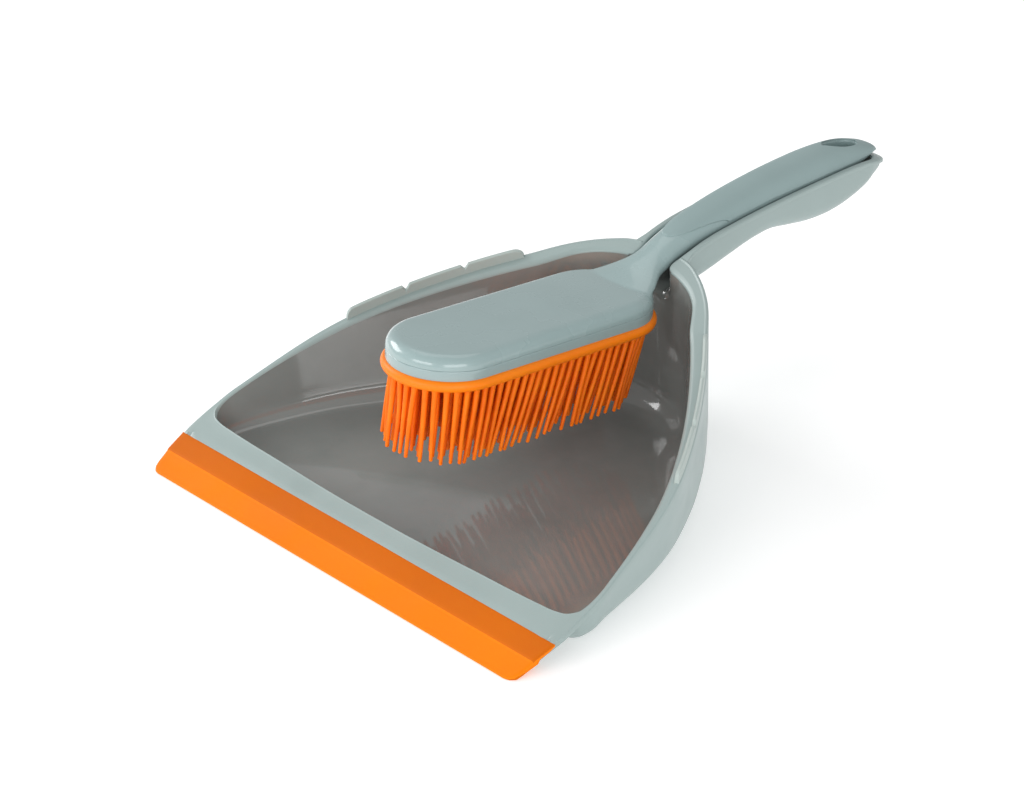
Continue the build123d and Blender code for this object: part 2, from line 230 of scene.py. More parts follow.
hair_mat = material("filament_orange", [(0.90, 0.150, 0.002), (0.97, 0.185, 0.003), (1.0, 0.225, 0.004)], (0.40, 0.55), blotch=60.0, soft=0.15, spec=0.22)
lip_mat = material("lip_orange", [(0.84, 0.196, 0.001), (0.88, 0.210, 0.001), (0.92, 0.224, 0.001)], (0.50, 0.65), grain=1200.0, grain_depth=0.00003, soft=0.06, spec=0.12)
# lip_band_orange: the flat band is a darker orange than the blade, partly its own tone over the grey core and partly
# painted shade for the band catching less front light
lip_band_mat = material("lip_band_orange", [(0.62, 0.132, 0.001), (0.67, 0.146, 0.001)], (0.50, 0.65), grain=1200.0, grain_depth=0.00003, soft=0.06, spec=0.12)
floor_mat = material("floor_white", [(0.86, 0.86, 0.86), (0.90, 0.90, 0.90)], (0.75, 0.9), blotch=3.0, spec=0.1)
floor_shader = floor_mat.node_tree.nodes["Principled BSDF"]
floor_shader.inputs["Emission Color"].default_value = (1, 1, 1, 1)
floor_shader.inputs["Emission Strength"].default_value = 0.33


# ------------------------------------------------------------------ pan
def rim_z(y):
    return 14.445 + 0.3813 * (np.asarray(y, float) - 33.0)


def smooth_step(t):
    t = np.clip(t, 0.0, 1.0)
    return t * t * (3 - 2 * t)


def rim_top(y):
    """Rim plane with the shallow recess the soft band lies in."""
    return rim_z(y) - 1.0 * smooth_step((19.9 - np.asarray(y, float)) / 1.2)


# inner edge, outer edge, wall's outer top, inner lean, inner radius, outer lean, outer radius
STATIONS = [
    (0, 29.5, 0, 8.5, 0, 27.9, 2.5, 5, 2.5, 5), (20, 29.6, 21, 8.5, 20, 28.0, 2.5, 5, 2.5, 5), (40, 30.0, 42, 8.5, 40, 28.4, 2.5, 5, 2.5, 5),
    (63, 30.7, 67, 8.5, 64, 29.1, 2.5, 5, 2.5, 5), (86, 31.3, 92, 8.5, 88, 29.7, 2.5, 5, 2.5, 5), (97, 31.8, 104, 8.5, 100, 30.1, 2.3, 4.6, 2.5, 5),
    (104.5, 32.3, 111.4, 8.6, 105.4, 30.8, 2.0, 4.4, 2.8, 5.2), (109.2, 33.3, 115.0, 10.4, 110.4, 31.9, 1.8, 4.2, 3.0, 5.6),
    (112.4, 35.6, 116.3, 17.0, 113.8, 34.6, 1.8, 4.2, 3.2, 5.8), (113.6, 37.4, 117.4, 25.0, 115.2, 37.0, 1.8, 4.4, 3.3, 5.8),
    (114.2, 39.4, 117.5, 32.0, 115.9, 39.2, 1.8, 4.6, 3.4, 6.0), (114.5, 43.0, 117.2, 39.0, 116.5, 42.4, 1.9, 5.0, 3.6, 6.4)]
for r in [((114.0, 48.5), (116.75, 46.0), 2.0, 5.5, 4.0, 7.0), ((112.6, 56.0), (115.5, 53.0), 2.0, 6.0, 4.6, 8.0),
          ((109.9, 67.6), (113.1, 66.0), 2.4, 6.5, 4.8, 9.0), ((106.6, 79.0), (110.4, 79.0), 2.6, 7.0, 5.0, 10.0),
          ((102.0, 91.5), (106.6, 92.2), 2.8, 7.5, 5.0, 11.0), ((95.8, 104.0), (101.2, 105.2), 3.0, 8.0, 4.6, 12.0),
          ((88.4, 116.0), (94.3, 117.4), 3.0, 8.5, 3.6, 13.5), ((79.8, 128.0), (86.2, 129.8), 3.0, 9.0, 2.6, 15.0),
          ((70.0, 140.0), (76.8, 142.3), 2.8, 10.0, 1.6, 17.0), ((60.2, 150.8), (67.2, 153.8), 2.6, 11.0, 0.8, 18.5),
          ((51.6, 159.6), (58.6, 163.0), 2.4, 12.0, 0.3, 19.5), ((45.2, 165.8), (52.4, 169.4), 2.2, 12.5, 0.0, 20.0),
          ((40.6, 171.4), (47.4, 174.8), 2.0, 13.0, 0.0, 20.0), ((36.0, 176.6), (42.6, 179.4), 2.0, 13.0, 0.0, 20.0),
          ((29.0, 181.6), (36.0, 184.6), 2.0, 13.0, 0.0, 20.0), ((20.6, 185.2), (27.6, 189.8), 2.0, 13.0, 0.0, 20.0),
          ((12.0, 187.4), (17.6, 194.2), 2.0, 13.0, 0.0, 20.0), ((6.0, 188.2), (8.8, 195.6), 2.0, 13.0, 0.0, 20.0),
          ((0.0, 188.4), (0.0, 195.9), 2.0, 13.0, 0.0, 20.0)]:
    STATIONS.append((*r[0], *r[1], *r[1], *r[2:]))
TABS = [(101.6, 124.4), (125.8, 145.3), (146.9, 165.6)]


def normals(path, sigma, step):
    """Unit vectors pointing into the tray along a half outline, evened out over sigma millimetres."""
    t = np.gradient(path, axis=0)
    nrm = np.stack([-t[:, 1], t[:, 0]], 1)
    nrm /= np.linalg.norm(nrm, axis=1)[:, None]
    if sigma > 0:
        w = int(3 * sigma / step)
        flip = np.array([-1.0, 1.0])
        ext = np.concatenate([nrm[1:w + 1][::-1] * flip, nrm, nrm[-w - 1:-1][::-1] * flip])
        k = np.exp(-0.5 * (np.arange(-w, w + 1) * step / sigma) ** 2)
        k /= k.sum()
        nrm = np.stack([np.convolve(ext[:, c], k, "valid") for c in (0, 1)], 1)
        nrm /= np.linalg.norm(nrm, axis=1)[:, None]
    return nrm


def tab_height(y):
    y = np.asarray(y, float)
    h = np.zeros_like(y)
    inside = (y > TABS[0][0]) & (y < TABS[-1][1])
    a = np.clip((y - TABS[0][0]) / 2.6, 0, 1)
    b = np.clip((TABS[-1][1] - y) / 4.0, 0, 1)
    e = np.sqrt(np.clip(1 - (1 - a) ** 2.4, 0, 1)) * np.sqrt(np.clip(1 - (1 - b) ** 2.0, 0, 1))
    h = np.where(inside, 4.1 * e, h)
    for mid, deep in ((125.1, 2.3), (146.1, 2.1)):
        h = h - deep * np.clip(1 - np.abs(y - mid) / 1.3, 0, 1) ** 0.8
    return np.maximum(h, 0.0)


def tray():
    K = np.array(STATIONS, float)
    ds = 0.5 * (np.hypot(*np.diff(K[:, 0:2], axis=0).T) + np.hypot(*np.diff(K[:, 2:4], axis=0).T))
    u = np.concatenate([[0], np.cumsum(ds)])
    step = 0.05
    fine = np.arange(0, u[-1] + step / 2, step)
    fine[-1] = u[-1]
    F = hermite(u, K, fine)
    F[:, 6:] = np.stack([np.interp(fine, u, K[:, c]) for c in range(6, 10)], 1)
    join = fine >= u[12]
    F[join, 4:6] = F[join, 2:4]
    nI, nO, nW = normals(F[:, 0:2], 8.0, step), normals(F[:, 2:4], 2.5, step), normals(F[:, 4:6], 14.0, step)
    pick = list(np.arange(0, u[5], 2.6)) + list(np.arange(u[5], u[12], 0.8)) + list(np.arange(u[12], u[-1], 1.5)) + [u[-1]]
    side = join & (F[:, 3] < 170)
    for a, b in TABS:
        for e, s in ((a, 1), (b, -1)):
            for d in (-0.75, -0.6, -0.35, 0.0, 0.12, 0.3, 0.55, 0.9, 1.4, 2.0, 3.0):
                pick.append(np.interp(e + s * d, F[side, 3], fine[side]))
    pick = np.array(sorted(pick))
    keep = [0]
    for i in range(1, len(pick)):
        if pick[i] - pick[keep[-1]] > 0.04:
            keep.append(i)
    pick = pick[keep]
    pick[-1] = u[-1]
    ids = np.round(pick / step).astype(int).clip(0, len(fine) - 1)
    F, nI, nO, nW = F[ids], nI[ids], nO[ids], nW[ids]
    I, O, W = F[:, 0:2], F[:, 2:4], F[:, 4:6]
    il, iR, ol, oR = F[:, 6], F[:, 7], F[:, 8], F[:, 9]
    width = np.abs(np.sum((I - O) * nO, axis=1))
    ri = np.minimum(1.5, 0.34 * width)
    omax = np.minimum(2.2, width - ri - 0.3)
    H = np.where(O[:, 1] > 90, tab_height(O[:, 1]), 0.0)
    rows, tags = [], []

    def row(xy, z, tag=0):
        rows.append(np.column_stack([xy, np.broadcast_to(z, len(xy))]))
        tags.append(tag)

    zt = rim_z(W[:, 1]) - 2.4

    def out_off(z):
        return ol * np.clip((zt - z) / zt, 0, 1)

    row(W + nW * (ol + oR + 2.5)[:, None], 0.0)
    for k in range(0, 9):
        a = math.radians(90 * k / 8)
        z = oR * (1 - math.cos(a))
        row(W + nW * (out_off(z) + oR * (1 - math.sin(a)))[:, None], z)
    for f in (0.2, 0.4, 0.6, 0.8, 1.0):
        z = oR + (zt - oR) * f
        row(W + nW * out_off(z)[:, None], z)
    for f in (0.25, 0.5, 0.75, 1.0):
        p = W + (O - W) * f
        row(p, rim_z(p[:, 1]) - 2.4)
    zo = rim_top(O[:, 1])
    row(O, zo - 0.9)
    for off, dz in ((0.12, -0.45), (0.33, -0.16)):
        row(O + nO * off, zo + dz)
    for off, dz, dh in ((0.40, -0.13, -0.55), (0.52, -0.08, -0.16), (0.85, -0.01, 0.0), (1.25, 0.0, 0.0)):
        row(O + nO * (off * np.minimum(1, omax / 2.2))[:, None], zo + np.maximum(dz, H + dh), 2)
    for off, dh in ((1.78, 0.0), (2.08, -0.16), (2.2, -0.55)):
        p = O + nO * (off / 2.2 * omax)[:, None]
        row(p, rim_top(p[:, 1]) + np.maximum(0.0, H + dh), 2)
    p0 = O + nO * omax[:, None]
    row(p0 + nO * 0.03, rim_top(p0[:, 1]), 2)
    p1 = I - nI * ri[:, None]
    for f in (0.15, 0.3, 0.45, 0.52, 0.68, 0.84, 1.0):
        p = p0 + (p1 - p0) * f
        row(p, rim_top(p[:, 1]))
    for deg in (22, 45, 68, 90):
        a = math.radians(deg)
        p = I - nI * (ri * (1 - math.sin(a)))[:, None]
        row(p, rim_top(I[:, 1]) - ri * (1 - math.cos(a)))
    zi = rim_top(I[:, 1])

    def in_off(z):
        return il * np.clip((zi - ri - z) / (zi - ri - 2.2), 0, 1)

    for f in (0.12, 0.3, 0.5, 0.7, 0.88, 1.0):
        z = (zi - ri) + (2.2 + iR - (zi - ri)) * f
        row(I + nI * in_off(z)[:, None], z, 1)
    for k in range(7, -1, -1):
        a = math.radians(90 * k / 8)
        z = 2.2 + iR * (1 - math.cos(a))
        row(I + nI * (in_off(z) + iR * (1 - math.sin(a)))[:, None], z, 1)
    row(I + nI * (il + iR + 3.0)[:, None], 2.2, 1)
    G = np.stack(rows, 1)
    G[0, :, 0] = 0.0
    G[-1, :, 0] = 0.0
    left = G[-2:0:-1].copy()
    left[:, :, 0] *= -1
    full = np.concatenate([G, left])
    nu, nv = full.shape[:2]
    faces = grid_faces(nu, nv, wrap_u=True)
    Hf = np.concatenate([H, H[-2:0:-1]])
    idx = []
    # inside rows (tag 1) take slot 1, the painted-shade interior copy
    for i in range(nu):
        for j in range(nv - 1):
            t = tags[j + 1]
            tall = max(Hf[i], Hf[(i + 1) % nu]) > 0.3
            # tab rows on tall tabs take slot 2, the painted-light tab copy
            idx.append(1 if t == 1 else (2 if (t == 2 and tall) else 0))
    faces.append([i * nv for i in range(nu)])
    faces.append([i * nv + nv - 1 for i in range(nu)])
    idx += [0, 1]
    return make("pan_body", full.reshape(-1, 3), faces, [pan_mat, inside_shade_mat, tab_light_mat], idx, 30)


FLANGE = np.array([(186, 72.5), (190.4, 74.22), (192.5, 75.14), (194.6, 76.02), (195.4, 76.40), (197, 77.06), (200, 78.05), (205, 79.3), (212, 80.6), (226, 82.0), (240, 83.0), (252, 83.6), (264, 84.0),
                   (277, 84.3), (290, 84.5), (303, 84.5), (313, 83.9), (322, 82.0), (330, 78.6)], float)
BELLY = np.array([(184, 57.6), (188, 58.0), (200, 60.4), (212, 62.5), (226, 65.5), (240, 68.2), (252, 69.0), (264, 67.0),
                  (277, 64.9), (290, 64.6), (303, 66.6), (314, 70.4), (324, 76.5), (327, 78.3), (332, 79.0)], float)


def flange_z(y):
    return hermite(FLANGE[:, 0], FLANGE[:, 1], np.atleast_1d(y))


def belly_z(y):
    return hermite(BELLY[:, 0], BELLY[:, 1], np.atleast_1d(y))


def loft(name, sections, mats, angle=32.0, index=0, inside_until=None):
    S = np.array(sections, float)
    n, m = S.shape[:2]
    faces = grid_faces(n, m, wrap_v=True)
    faces.append(list(range(m)))
    faces.append([(n - 1) * m + k for k in range(m)])
    # faces near each section's seam take slot 1, the painted-shade interior copy
    idx = [index] * len(faces)
    if inside_until is not None:
        for i in range(n - 1):
            for j in range(m):
                if min(j, m - 1 - j) < inside_until:
                    idx[i * m + j] = 1
    return make(name, S.reshape(-1, 3), faces, mats, idx, angle)


def both_sides(half):
    """Closed loop from its right half; the first and last points lie on the middle line."""
    return half + [(-x, y, z) for x, y, z in half[-2:0:-1]]


def handle_outer():
    ys = list(np.arange(190.4, 200, 0.6)) + list(np.arange(200, 312, 2.0)) + [312 + 18 * math.sin(math.radians(a)) for a in np.linspace(0, 86, 21)]
    secs = []
    for y in ys:
        zf, zb = float(flange_z(y)[0]), float(belly_z(y)[0])
        wf = 14.4 if y <= 312 else 14.4 * math.sqrt(max(1 - ((y - 312) / 18.0) ** 2.2, 0.0004))
        if y < 201:
            wf = 14.4 + 0.034 * (201 - y) ** 2
        r = min(0.8, wf * 0.4)
        ww = max(min(13.2, wf - 1.2), wf * 0.6)
        lo = zf - 2.3
        zb = min(zb, lo - 0.1)
        rr = min(7.0, (lo - zb) * 0.85, ww * 0.6)
        h = [(0, y, zf), ((wf - r) * 0.45, y, zf), ((wf - r) * 0.8, y, zf), (wf - r, y, zf), (wf - 0.5 * r, y, zf - 0.13 * r), (wf - 0.13 * r, y, zf - 0.5 * r), (wf, y, zf - r),
             (wf, y, zf - 1.5), (wf - 0.18, y, zf - 1.95), (wf - 0.5 * (wf - ww) - 0.1, y, zf - 2.2), (ww, y, lo)]
        for f in (0.3, 0.6, 1.0):
            h.append((ww - 0.4 * f * (1 if ww > 6 else 0), y, lo + (zb + rr - lo) * f))
        wb = ww - (0.4 if ww > 6 else 0)
        for k in range(1, 8):
            a = math.radians(90 * k / 7)
            h.append((wb - rr * (1 - math.cos(a)), y, zb + rr * (1 - math.sin(a))))
        h += [((wb - rr) * 0.5, y, zb), (0, y, zb)]
        secs.append(both_sides(h))
    return loft("handle_outer", secs, [pan_mat, inside_shade_mat, tab_light_mat])


def handle_hollow():
    ys = [178, 183, 186, 187.4] + list(np.arange(187.8, 191, 0.4)) + [192, 194, 197] + list(np.arange(200, 309, 2.5)) + [309 + 12.8 * math.sin(math.radians(a)) for a in np.linspace(2, 88, 16)]
    secs = []
    for y in ys:
        if y < 190.6:
            d = min(190.6 - y, 3.0)
            w = 9.9 + 3.0 - math.sqrt(max(9.0 - d * d, 0)) + max(0.0, 187.6 - y) * 0.25
        elif y < 200:
            w = 9.9 + 1.3 * float(smooth_step((y - 190.6) / 9.4))
        elif y <= 309:
            w = 11.2
        else:
            w = 11.2 * math.sqrt(max(1 - ((y - 309) / 12.9) ** 3.4, 0.001))
        zt = float(flange_z(y)[0]) if y > 192.5 else float(max(rim_z(y), flange_z(y)[0]))
        zf = float(belly_z(y)[0]) + 2.1
        if y < 190:
            d = min(190 - y, 2.0)
            zf -= 2.0 - math.sqrt(max(4 - d * d, 0))
        rr = min(5.0, w * 0.8)
        r = 1.1
        h = [(0, y, zf), ((w - rr) * 0.6, y, zf)]
        for k in range(0, 8):
            a = math.radians(90 * k / 7)
            h.append((w - rr + rr * math.sin(a), y, zf + rr * (1 - math.cos(a))))
        h += [(w, y, zf + rr + (zt - r - zf - rr) * 0.5), (w, y, zt - r), (w + 0.08 * r, y, zt - 0.6 * r), (w + 0.3 * r, y, zt - 0.29 * r),
              (w + 0.62 * r, y, zt - 0.07 * r), (w + r, y, zt + 0.02), (w + r + 0.6, y, zt + 0.7), (w + r + 0.6, y, 99), (0, y, 99)]
        secs.append(both_sides(h))
    return loft("handle_hollow", secs, [pan_mat, inside_shade_mat, tab_light_mat], inside_until=11)


def eye(points, z0, z1, grow, name):
    P = np.array(points, float)
    u = np.concatenate([[0], np.cumsum(np.hypot(*np.diff(P, axis=0).T))])
    half = hermite(u, P, np.linspace(0, u[-1], 15))
    cy = half[:, 1].mean()
    half[:, 1] = cy + (half[:, 1] - cy) * (1 + grow / 11.0)
    half[:, 0] = np.where(half[:, 0] > 0.01, half[:, 0] + grow, half[:, 0])
    loop = [(x, y) for x, y in half] + [(-x, y) for x, y in half[-2:0:-1]]
    return loft(name, [[(x, y, z0) for x, y in loop], [(x, y, z1) for x, y in loop]], [pan_mat, inside_shade_mat, tab_light_mat])


PAN_EYE = [(0, 295.5), (3.6, 301), (4.8, 307.5), (3.4, 313.5), (0, 316)]
BRUSH_EYE = [(0, 295), (3.8, 300.5), (5.2, 307), (3.8, 314), (0, 317)]

pan = tray()
closed_and_volume(pan)
arm = handle_outer()
closed_and_volume(arm)
hollow = handle_hollow()
closed_and_volume(hollow)
cut(pan, arm, "UNION")
closed_and_volume(pan)
cut(pan, hollow, "DIFFERENCE")
closed_and_volume(pan)
cut(pan, eye(PAN_EYE, 50, 81, 0.0, "eye_a"), "DIFFERENCE")
bad, vol, count = closed_and_volume(pan)
soften(pan.data, 30)
wn = pan.modifiers.new("even", "WEIGHTED_NORMAL")
wn.keep_sharp = True
wn.weight = 60
if vol > 120000 and count > 3000:
    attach(pan, "dustpan")
    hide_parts("pan_shell")
else:
    print("PAN FALLBACK")
    bpy.data.objects.remove(pan)


# ------------------------------------------------------------------ soft lip
def soft_lip():
    def r(y):
        return float(rim_z(y))

    top = [(20.32, r(20.32) - 0.95), (20.32, r(20.3) - 0.30), (20.22, r(20.2) - 0.06), (20.0, r(20) + 0.05), (19.5, r(19.5) + 0.10), (16.5, r(16.5) + 0.12),
           (13.5, r(13.5) + 0.12), (11.6, r(11.6) + 0.12), (11.0, r(11.0) + 0.08), (10.6, r(10.6) - 0.02), (10.3, r(10.3) - 0.18), (10.0, 5.22), (9.4, 4.90),
           (7.0, 3.66), (4.5, 2.52), (2.4, 1.60), (1.2, 1.10), (0.5, 0.86), (0.15, 0.66), (0.0, 0.42)]
    low = [(0.12, 0.16), (0.45, 0.03), (1.0, 0.0), (2.9, 0.0), (5.5, 1.05), (8.3, 2.25), (12.5, 3.7), (13.4, 5.3), (18.0, 7.2)]
    prof = top + low
    hw_y = [0.0, 0.12, 0.4, 0.9, 2.0, 3.6, 7.5, 13.0, 20.0, 21.0]
    hw_x = [107.6, 109.4, 110.9, 112.2, 113.6, 114.5, 115.3, 116.2, 117.3, 117.4]
    cols = [(s, 0.0) for s in np.linspace(0, 1, 40)[:-1]]
    secs = []
    for s, _ in cols:
        secs.append([(s * (float(np.interp(y, hw_y, hw_x)) - 1.2), y, z) for y, z in prof])
    for a in (0, 20, 40, 60, 78, 90):
        t = math.radians(a)
        sec = []
        for i, (y, z) in enumerate(prof):
            hw = float(np.interp(y, hw_y, hw_x))
            d = 0.7 * (1 - math.cos(t)) if 2 < i < 19 else 0.0
            sec.append((hw - 1.2 + 1.2 * math.sin(t), y, max(z - d, 0.02 if i < 19 else z)))
        secs.append(sec)
    S = np.array(secs, float)
    left = S[:0:-1].copy()
    left[:, :, 0] *= -1
    S = np.concatenate([left, S])
    n, m = S.shape[:2]
    faces = grid_faces(n, m, wrap_v=True)
    faces.append(list(range(m)))
    faces.append([(n - 1) * m + k for k in range(m)])
    idx = []
    for i in range(n - 1):
        for j in range(m):
            # profile rows 2 to 9 form the band, in the darker orange that is partly painted shade
            idx.append(1 if 2 <= j < 10 else 0)
    idx += [0, 0]
    return make("lip_strip", S.reshape(-1, 3), faces, [lip_mat, lip_band_mat], idx, 30)


lip = soft_lip()
closed_and_volume(lip)
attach(lip, "dustpan")
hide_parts("rubber_lip")

# ------------------------------------------------------------------ brush head
SL = -0.105
HH = math.hypot(1.0, SL)
HALF = ((179.0 - 46.5) * HH) / 2 - 25.0
MID = ((179.0 + 46.5) / 2 - 110.0) * HH


def head(x, a, n):
    """Point of the head: a along it, n above its underside."""
    return (x, 110.0 + (a - SL * n) / HH, 66.5 + (SL * a + n) / HH)


def ring(grow, n, count=168):
    """Stadium outline grown by grow at height n, evenly stepped."""
    arc, line = count // 3, count // 6
    pts = []
    w = 25.0 + grow
    for k in range(arc):
        t = math.pi * k / arc
        pts.append((w * math.cos(t), MID + HALF + w * math.sin(t)))
    for k in range(line):
        pts.append((-w, MID + HALF - 2 * HALF * k / line))
    for k in range(arc):
        t = math.pi + math.pi * k / arc
        pts.append((w * math.cos(t), MID - HALF + w * math.sin(t)))
    for k in range(line):
        pts.append((w, MID - HALF + 2 * HALF * k / line))
    return [head(x, a, n) for x, a in pts]


def stack(name, rows, mats, angle=32.0, count=168):
    secs = [ring(g, n, count) for g, n in rows]
    return loft(name, secs, mats, angle)


# lower band under the seam
band = stack("head_band", [(-3, -0.6), (-0.5, -0.6), (0.0, -0.2), (0.0, 1.2), (0.0, 2.6), (0.0, 3.72), (-0.05, 3.92), (-0.17, 4.07), (-0.36, 4.14), (-4.0, 4.14)], [band_mat])
closed_and_volume(band)
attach(band, "brush")
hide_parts("brush_base")

# soft plate with its rounded bead
bead = [(-6.0, -4.95), (-2.6, -4.95)]
for a in range(-90, 91, 15):
    t = math.radians(a)
    bead.append((-0.6 + 2.4 * math.cos(t), -2.5 + 2.45 * math.sin(t)))
bead += [(-2.2, -0.05), (-5.0, -0.05)]
plate = stack("bead_plate", bead, [plate_mat], 40)
closed_and_volume(plate)
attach(plate, "brush")
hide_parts("bristle_plate")

# head, neck and handle
GRIP = np.array([(166.0, 71.2, 66.0, 20.0), (176.0, 73.6, 66.5, 14.6), (186.0, 77.6, 68.0, 8.9), (194.0, 81.4, 70.0, 8.4), (204.0, 84.6, 72.5, 8.8),
                 (216.0, 87.2, 74.5, 9.5), (230.0, 89.4, 76.0, 10.0), (250.0, 91.6, 77.0, 10.2), (270.0, 92.8, 77.4, 10.3), (288.0, 93.0, 77.2, 10.3),
                 (302.0, 92.0, 77.2, 10.0), (311.0, 90.2, 79.6, 9.4), (318.0, 87.9, 81.6, 8.2), (323.5, 85.8, 82.2, 6.4), (327.0, 83.8, 81.2, 4.0)], float)


def grip_at(y):
    return hermite(GRIP[:, 0], GRIP[:, 1:], np.atleast_1d(y))[0]


def grip_point(y, phi, raise_by=0.0):
    zt, zb, w = grip_at(y)
    zm = zb + (zt - zb) * 0.42
    c, s = math.cos(phi), math.sin(phi)
    p = 0.95 if s >= 0 else 0.72
    x = w * math.copysign(abs(c) ** p, c)
    z = zm + ((zt - zm) if s >= 0 else (zm - zb)) * math.copysign(abs(s) ** p, s)
    if raise_by:
        nx, nz = c / w, s / max((zt - zm) if s >= 0 else (zm - zb), 0.5)
        ln = math.hypot(nx, nz)
        x, z = x + raise_by * nx / ln, z + raise_by * nz / ln
    return (x, y, z)


ys = list(np.arange(160.0, 166.0, 2.0)) + list(np.arange(166.0, 322.0, 1.5)) + list(np.linspace(322.5, 327.0, 7))
secs = []
for y in ys:
    sec = [grip_point(max(y, 166.0), 2 * math.pi * k / 64) for k in range(64)]
    if y < 166.0:
        d = (166.0 - y) / 6.0
        sec = [(x * (1 + 0.1 * d), y, z - 1.3 * d * (1 if z > 68 else 0)) for x, _, z in sec]
    secs.append(sec)
stem = loft("stem", secs, [brush_mat])
rows = [(-4.0, 2.2), (0.0, 2.2), (0.0, 3.4), (0.0, 5.0)]
for a in range(10, 91, 10):
    t = math.radians(a)
    rows.append((-5 * (1 - math.cos(t)), 5 + 5 * math.sin(t)))
rows += [(-9.0, 10.12), (-14.0, 10.25), (-20.0, 10.35), (-24.0, 10.38)]
top = stack("head_and_handle", rows, [brush_mat])
cut(top, stem, "UNION")
cut(top, eye(BRUSH_EYE, 60, 110, 0.0, "eye_b"), "DIFFERENCE")
closed_and_volume(top)
rm = top.modifiers.new("even", "REMESH")
rm.mode = "VOXEL"
rm.voxel_size = 0.0005
sm = top.modifiers.new("soften", "SMOOTH")
sm.factor = 0.5
sm.iterations = 14
baked(top)
bm = bmesh.new()
bm.from_mesh(top.data)
co = Vector(metres([head(0, 0, 4.24)])[0])
no = (Vector(metres([head(0, 0, 10.0)])[0]) - co).normalized()
bmesh.ops.bisect_plane(bm, geom=bm.verts[:] + bm.edges[:] + bm.faces[:], dist=1e-7, plane_co=co, plane_no=no, clear_inner=True)
edge = [e for e in bm.edges if len(e.link_faces) == 1]
bmesh.ops.edgeloop_fill(bm, edges=edge)
bmesh.ops.recalc_face_normals(bm, faces=bm.faces)
bm.to_mesh(top.data)
bm.free()
top.data.materials.clear()
top.data.materials.append(brush_mat)
soften(top.data, 40)
closed_and_volume(top)
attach(top, "brush")
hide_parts("brush_top")

# grip inlay
TONGUE_Y = [195.9, 196.1, 196.7, 197.6, 199.0, 202.0, 206.0, 212.0, 218.0, 225.0, 232.0]
TONGUE_X = [0.02, 1.3, 2.4, 3.3, 4.2, 5.5, 6.6, 7.7, 8.6, 9.7, 11.5]
EDGE_Y = [195, 205, 216, 230, 250, 290, 305, 316, 324, 327]
EDGE_Z = [70, 78.6, 80.8, 82.5, 83.9, 84.2, 84.0, 84.4, 83.0, 82.4]


def grip_pad():
    rows = list(np.linspace(195.9, 199.0, 9)) + list(np.arange(200.0, 320.0, 1.6)) + list(np.linspace(320.5, 326.6, 9))
    outer, inner = [], []
    n = 40
    last = len(rows) - 1
    for i, y in enumerate(rows):
        zt, zb, w = grip_at(y)
        zm = zb + (zt - zb) * 0.42
        f = np.clip((np.interp(y, EDGE_Y, EDGE_Z) - zm) / (zt - zm), 0.02, 0.98)
        e1 = math.asin(f ** (1 / 0.95))
        q = min(np.interp(y, TONGUE_Y, TONGUE_X) / w, 1.0)
        e2 = math.acos(q ** (1 / 0.95))
        e = max(e1 if y > 199 else 0.0, e2)
        edge = 0.85 / w
        ro, ri_ = [], []
        for k in range(n + 1):
            t = k / n
            phi = e + (math.pi - 2 * e) * t
            d = min(phi - e, math.pi - e - phi) / edge
            end = min(1.0, (326.6 - y) / 0.9, (y - 195.9) / 0.7 + 0.0)
            k1 = math.sqrt(max(0.0, 1 - (1 - min(d, 1.0)) ** 2)) * math.sqrt(max(0.0, 1 - (1 - max(end, 0.0)) ** 2))
            lift = -0.45 + 1.1 * k1
            ro.append(grip_point(y, phi, lift))
            ri_.append(grip_point(y, phi, -1.1))
        outer.append(ro)
        inner.append(ri_)
    S = np.array([o + i[::-1] for o, i in zip(outer, inner)], float)
    m = S.shape[1]
    faces = grid_faces(len(S), m, wrap_v=True)
    faces += [(k, k + 1, m - 2 - k, m - 1 - k) for k in range(n)]
    b = (len(S) - 1) * m
    faces += [(b + k, b + k + 1, b + m - 2 - k, b + m - 1 - k) for k in range(n)]
    return make("grip_inlay", S.reshape(-1, 3), faces, [grip_mat], None, 40)


pad = grip_pad()
closed_and_volume(pad)
cut(pad, eye(BRUSH_EYE, 60, 110, 0.35, "eye_c"), "DIFFERENCE")
pad.data.materials.clear()
pad.data.materials.append(grip_mat)
soften(pad.data, 40)
closed_and_volume(pad)
bv = pad.modifiers.new("edge", "BEVEL")
bv.width = 0.0003
bv.segments = 2
bv.limit_method = "ANGLE"
bv.angle_limit = math.radians(50)
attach(pad, "brush")
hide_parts("grip_pad")


